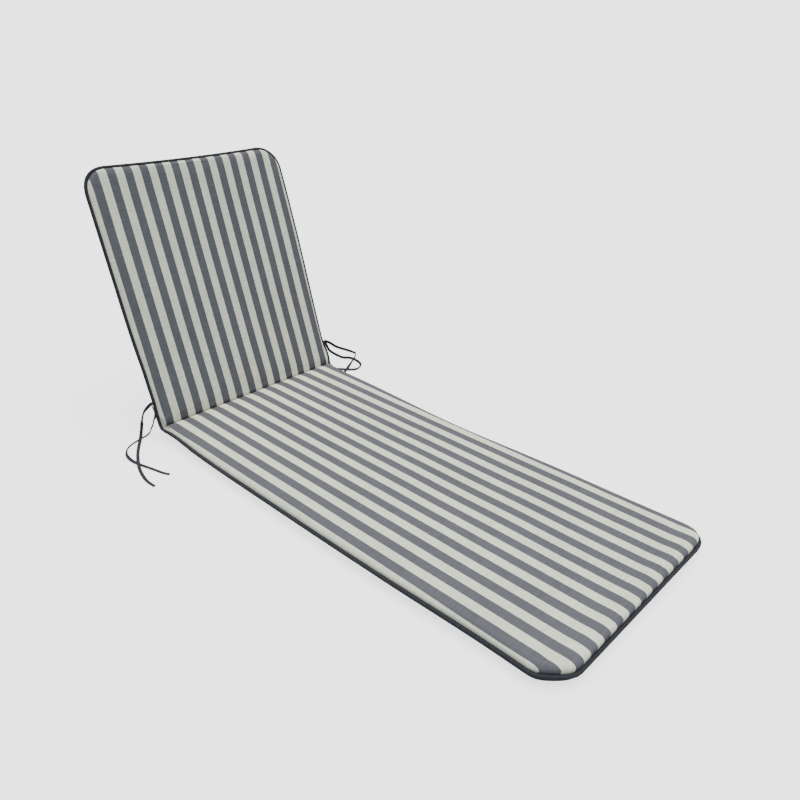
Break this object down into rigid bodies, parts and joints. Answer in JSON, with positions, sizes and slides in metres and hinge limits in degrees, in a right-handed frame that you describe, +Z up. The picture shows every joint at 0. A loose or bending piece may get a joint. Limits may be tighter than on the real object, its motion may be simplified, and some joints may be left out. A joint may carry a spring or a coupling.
{
  "type": "sun lounger cushion",
  "caption": "Long padded cushion for a sun lounger, folded up at a sewn crease into seat and back, with striped cloth, a corded edge and tie tapes at the fold.",
  "frame": {"origin": "middle of the footprint of the cushion and its corded edge, on the surface that the seat lies on", "axes": "+Y runs from the foot end along the seat to the raised back, +X across the cushion to the right of someone who lies on it with their feet at the foot end, +Z up"},
  "size_m": [0.9185, 1.4988, 0.6862],
  "materials": {
    "striped_cloth": "matt woven cloth in even cream and grey stripes",
    "dark_binding": "matt dark slate woven strip"
  },
  "bodies": {
    "root": {"cushion": "striped_cloth", "piping": "dark_binding", "tie_left_front": "dark_binding", "tie_left_rear": "dark_binding", "tie_right_front": "dark_binding", "tie_right_rear": "dark_binding"}
  },
  "joints": []
}
